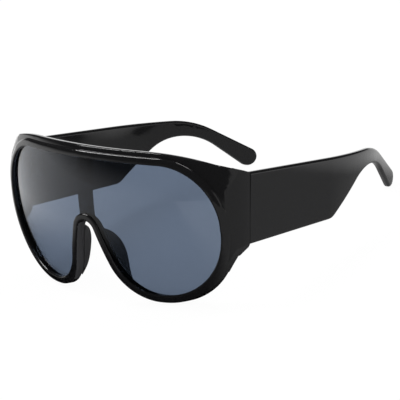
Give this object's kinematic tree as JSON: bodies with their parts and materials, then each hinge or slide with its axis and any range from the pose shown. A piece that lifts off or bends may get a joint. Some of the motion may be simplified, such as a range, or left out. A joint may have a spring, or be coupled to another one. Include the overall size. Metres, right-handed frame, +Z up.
{
  "type": "oversized shield sunglasses",
  "caption": "Oversized black shield sunglasses with a one-piece smoke lens, proud rim, wide flat temples that fold in on screw hinges, and curved ear hooks.",
  "frame": {"origin": "centre of the footprint, on the table that the open sunglasses stand on", "axes": "+Z up, -Y the way the front faces, +X the wearer's left"},
  "size_m": [0.142, 0.1498, 0.0705],
  "materials": {
    "black_frame_plastic": "polished moulded black",
    "smoke_lens": "smoke-tinted moulded lens",
    "nose_pad_plastic": "satin black",
    "hinge_steel": "satin",
    "screw_steel": "bright"
  },
  "bodies": {
    "front": {"front_frame": "black_frame_plastic", "shield_lens": "smoke_lens", "left_nose_pad": "nose_pad_plastic", "right_nose_pad": "nose_pad_plastic", "left_front_hinge_leaf": "hinge_steel", "right_front_hinge_leaf": "hinge_steel", "left_hinge_screw": "screw_steel", "right_hinge_screw": "screw_steel", "left_front_leaf_screws": "screw_steel", "right_front_leaf_screws": "screw_steel"},
    "left_side": {"left_temple": "black_frame_plastic", "left_temple_hinge_leaf": "hinge_steel", "left_temple_leaf_screws": "screw_steel"},
    "right_side": {"right_temple": "black_frame_plastic", "right_temple_hinge_leaf": "hinge_steel", "right_temple_leaf_screws": "screw_steel"}
  },
  "joints": [
    {"name": "left_temple_fold", "type": "hinge", "parent": "front", "child": "left_side", "pos_m": [0.0664, -0.0403, 0.04306], "axis": [0, 0.2739, 0.9618], "range_deg": [0, 83]},
    {"name": "right_temple_fold", "type": "hinge", "parent": "front", "child": "right_side", "pos_m": [-0.0664, -0.0403, 0.04306], "axis": [0, -0.2739, -0.9618], "range_deg": [0, 74]}
  ]
}
